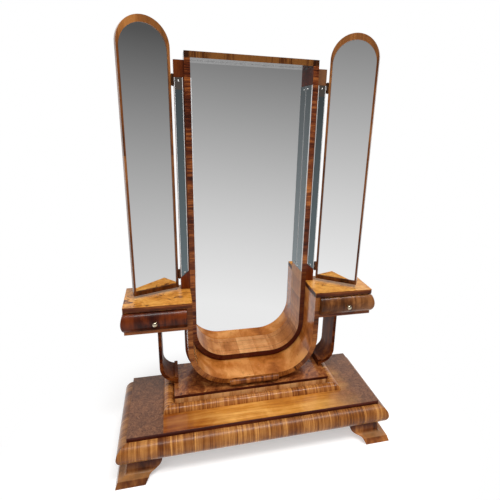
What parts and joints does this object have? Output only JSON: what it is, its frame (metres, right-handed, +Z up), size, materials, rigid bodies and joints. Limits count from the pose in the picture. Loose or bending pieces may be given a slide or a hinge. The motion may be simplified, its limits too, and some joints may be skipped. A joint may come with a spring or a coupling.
{
  "type": "standing dressing mirror",
  "caption": "Standing dressing mirror on a stepped plinth, with arched side mirrors on hinges and a small drawer cabinet on each side.",
  "frame": {"origin": "middle of the bounding box in plan, on the floor", "axes": "+Z up, -Y towards the person who looks into the mirror, +X to that person's right"},
  "size_m": [1.234, 0.454, 1.8],
  "materials": {
    "burl_veneer": "polished burl veneer",
    "cross_veneer": "polished cross-grained veneer",
    "foot_veneer": "polished dark veneer",
    "carcass_wood": "plain carcass wood",
    "step_veneer": "polished veneer",
    "ribbon_veneer": "polished figured veneer",
    "frame_veneer": "polished dark veneer",
    "wing_veneer": "polished veneer",
    "slab_veneer": "polished figured veneer",
    "drawer_veneer": "polished dark veneer",
    "drawer_wood": "plain drawer lining",
    "side_frame_veneer": "polished veneer",
    "mirror_glass": "silvered glass",
    "strip_glass": "dark silvered glass",
    "knob_brass": "polished pale brass",
    "hinge_steel": "dull steel",
    "screw_chrome": "bright plated steel"
  },
  "bodies": {
    "stand": {"back_board": "carcass_wood", "base_pad": "carcass_wood", "cabinet_backs": "carcass_wood", "cabinet_floor_left": "slab_veneer", "cabinet_floor_right": "slab_veneer", "cabinet_inner_side_left": "carcass_wood", "cabinet_inner_side_right": "carcass_wood", "cabinet_outer_side_left": "drawer_veneer", "cabinet_outer_side_right": "drawer_veneer", "cabinet_top_left": "slab_veneer", "cabinet_top_right": "slab_veneer", "foot_front_left": "foot_veneer", "foot_front_right": "foot_veneer", "foot_rear_left": "foot_veneer", "foot_rear_right": "foot_veneer", "frame_top_rail": "frame_veneer", "frame_u": "frame_veneer", "hinge_leaves_fixed": "hinge_steel", "hinge_pins": "hinge_steel", "hinge_screws": "screw_chrome", "lining_glass_strips": "strip_glass", "main_mirror": "mirror_glass", "plinth_back_rail": "carcass_wood", "plinth_ends": "carcass_wood", "plinth_front_rail": "carcass_wood", "plinth_moulding_front": "cross_veneer", "plinth_moulding_left": "cross_veneer", "plinth_moulding_right": "cross_veneer", "plinth_top": "burl_veneer", "ribbon": "ribbon_veneer", "step_core": "step_veneer", "step_moulding_front": "cross_veneer", "step_moulding_left": "cross_veneer", "step_moulding_right": "cross_veneer", "step_top": "burl_veneer", "strip_screws": "screw_chrome", "support_left": "ribbon_veneer", "support_right": "ribbon_veneer", "toe_moulding": "cross_veneer", "wing_glass_strips": "strip_glass", "wing_left": "wing_veneer", "wing_right": "wing_veneer"},
    "mirror_left": {"side_frame_left": "side_frame_veneer", "side_mirror_left": "mirror_glass", "side_back_left": "carcass_wood", "hinge_leaves_left": "hinge_steel"},
    "mirror_right": {"side_frame_right": "side_frame_veneer", "side_mirror_right": "mirror_glass", "side_back_right": "carcass_wood", "hinge_leaves_right": "hinge_steel"},
    "drawer_left": {"drawer_front_left": "drawer_veneer", "drawer_sides_left": "drawer_wood", "drawer_back_left": "drawer_wood", "drawer_bottom_left": "drawer_wood", "knob_left": "knob_brass"},
    "drawer_right": {"drawer_front_right": "drawer_veneer", "drawer_sides_right": "drawer_wood", "drawer_back_right": "drawer_wood", "drawer_bottom_right": "drawer_wood", "knob_right": "knob_brass"}
  },
  "joints": [
    {"name": "mirror_left_hinge", "type": "hinge", "parent": "stand", "child": "mirror_left", "pos_m": [-0.325, 0.143, 1.181], "axis": [0, 0, 1], "range_deg": [-25.6, 129.4]},
    {"name": "mirror_right_hinge", "type": "hinge", "parent": "stand", "child": "mirror_right", "pos_m": [0.325, 0.143, 1.181], "axis": [0, 0, -1], "range_deg": [-41, 114]},
    {"name": "drawer_left_slide", "type": "slide", "parent": "stand", "child": "drawer_left", "axis": [0, -1, 0], "range_m": [0, 0.135]},
    {"name": "drawer_right_slide", "type": "slide", "parent": "stand", "child": "drawer_right", "axis": [0, -1, 0], "range_m": [0, 0.135]}
  ]
}
